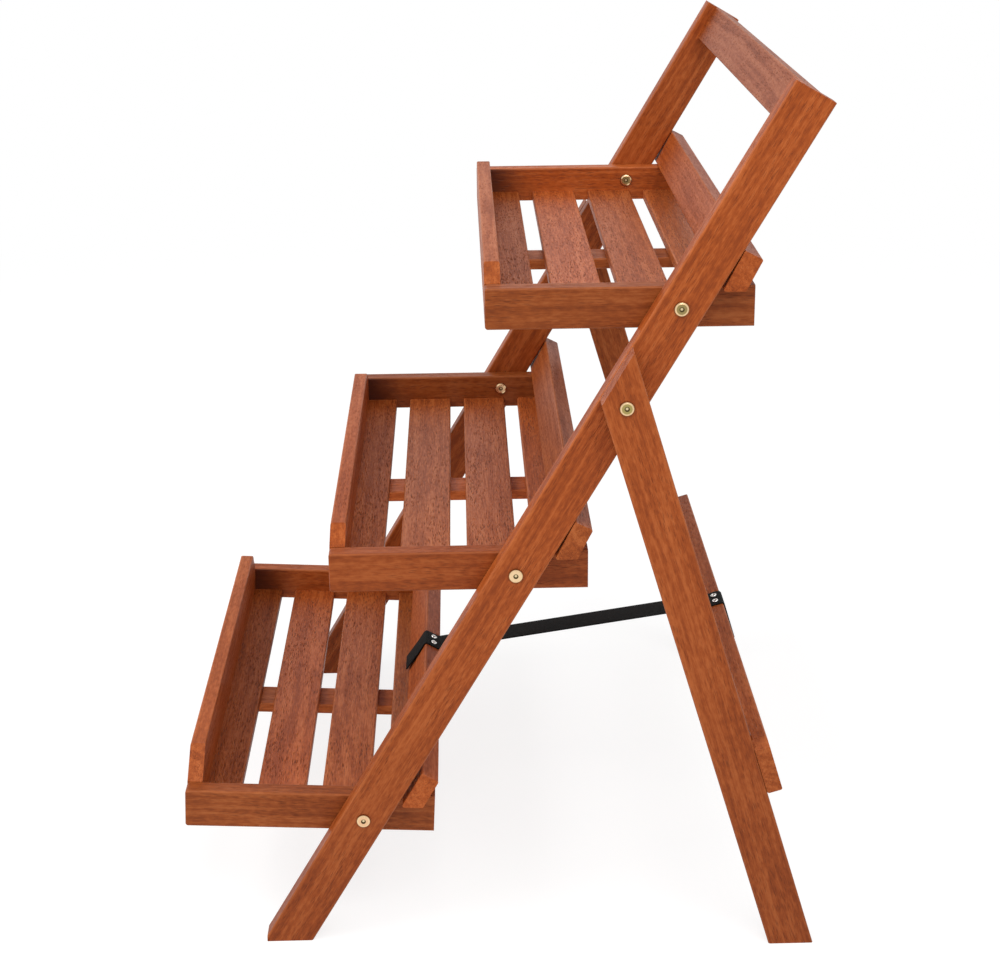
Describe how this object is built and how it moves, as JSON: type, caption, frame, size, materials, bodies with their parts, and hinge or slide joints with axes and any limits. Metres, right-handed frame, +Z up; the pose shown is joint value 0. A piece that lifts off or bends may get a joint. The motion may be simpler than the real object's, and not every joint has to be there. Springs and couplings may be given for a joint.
{
  "type": "folding plant stand",
  "caption": "Folding wooden plant stand with stepped slatted trays on leaning legs, hinged rear legs, a carrying crossbar and a webbing strap that limits the opening.",
  "frame": {"origin": "on the floor under the middle of the stand's width and depth", "axes": "+X to the right seen from the front, +Y from the front of the trays to the rear legs, +Z up"},
  "size_m": [0.704, 0.6612, 0.9101],
  "materials": {
    "hardwood": "oiled",
    "dowel": "plain",
    "brass": "plated",
    "washer": "plated",
    "screw": "plated",
    "webbing": "woven",
    "rivet": "bright"
  },
  "bodies": {
    "front_frame": {"front_leg_left": "hardwood", "front_leg_right": "hardwood", "top_crossbar": "hardwood", "handle_dowels": "dowel", "tray_pivot_bolts": "brass", "tray_pivot_sleeves": "brass", "tray_washers": "washer", "leg_pivot_bolts": "brass", "leg_pivot_sleeves": "brass", "leg_washers": "washer"},
    "rear_frame": {"rear_leg_left": "hardwood", "rear_leg_right": "hardwood", "rear_crossbar": "hardwood", "crossbar_screws": "screw", "limit_strap": "webbing", "rear_strap_rivets": "rivet"},
    "lower_tray": {"lower_side_left": "hardwood", "lower_side_right": "hardwood", "lower_front_board": "hardwood", "lower_rear_board": "hardwood", "lower_slat_1": "hardwood", "lower_slat_2": "hardwood", "lower_slat_3": "hardwood", "lower_slat_4": "hardwood", "lower_centre_batten": "hardwood", "lower_front_board_dowels": "dowel", "lower_rear_board_screws": "screw", "lower_batten_screws": "screw", "front_strap_rivets": "rivet"},
    "middle_tray": {"middle_side_left": "hardwood", "middle_side_right": "hardwood", "middle_front_board": "hardwood", "middle_rear_board": "hardwood", "middle_slat_1": "hardwood", "middle_slat_2": "hardwood", "middle_slat_3": "hardwood", "middle_slat_4": "hardwood", "middle_centre_batten": "hardwood", "middle_front_board_dowels": "dowel", "middle_rear_board_screws": "screw", "middle_batten_screws": "screw"},
    "upper_tray": {"upper_side_left": "hardwood", "upper_side_right": "hardwood", "upper_front_board": "hardwood", "upper_rear_board": "hardwood", "upper_slat_1": "hardwood", "upper_slat_2": "hardwood", "upper_slat_3": "hardwood", "upper_slat_4": "hardwood", "upper_centre_batten": "hardwood", "upper_front_board_dowels": "dowel", "upper_rear_board_screws": "screw", "upper_batten_screws": "screw"}
  },
  "joints": [
    {"name": "rear_frame_fold", "type": "hinge", "parent": "front_frame", "child": "rear_frame", "pos_m": [0, 0.127, 0.60031], "axis": [-1, 0, 0], "range_deg": [0, 47], "deforming": ["limit_strap"]},
    {"name": "lower_tray_fold", "type": "hinge", "parent": "front_frame", "child": "lower_tray", "pos_m": [0, -0.14119, 0.14318], "axis": [-1, 0, 0], "range_deg": [0, 105]},
    {"name": "middle_tray_fold", "type": "hinge", "parent": "front_frame", "child": "middle_tray", "pos_m": [0, 0.01972, 0.41746], "axis": [-1, 0, 0], "range_deg": [0, 108]},
    {"name": "upper_tray_fold", "type": "hinge", "parent": "front_frame", "child": "upper_tray", "pos_m": [0, 0.18064, 0.69174], "axis": [-1, 0, 0], "range_deg": [0, 108]}
  ],
  "couplings": [
    {"joint": "lower_tray_fold", "follows": "rear_frame_fold", "ratio": 2.234}
  ]
}
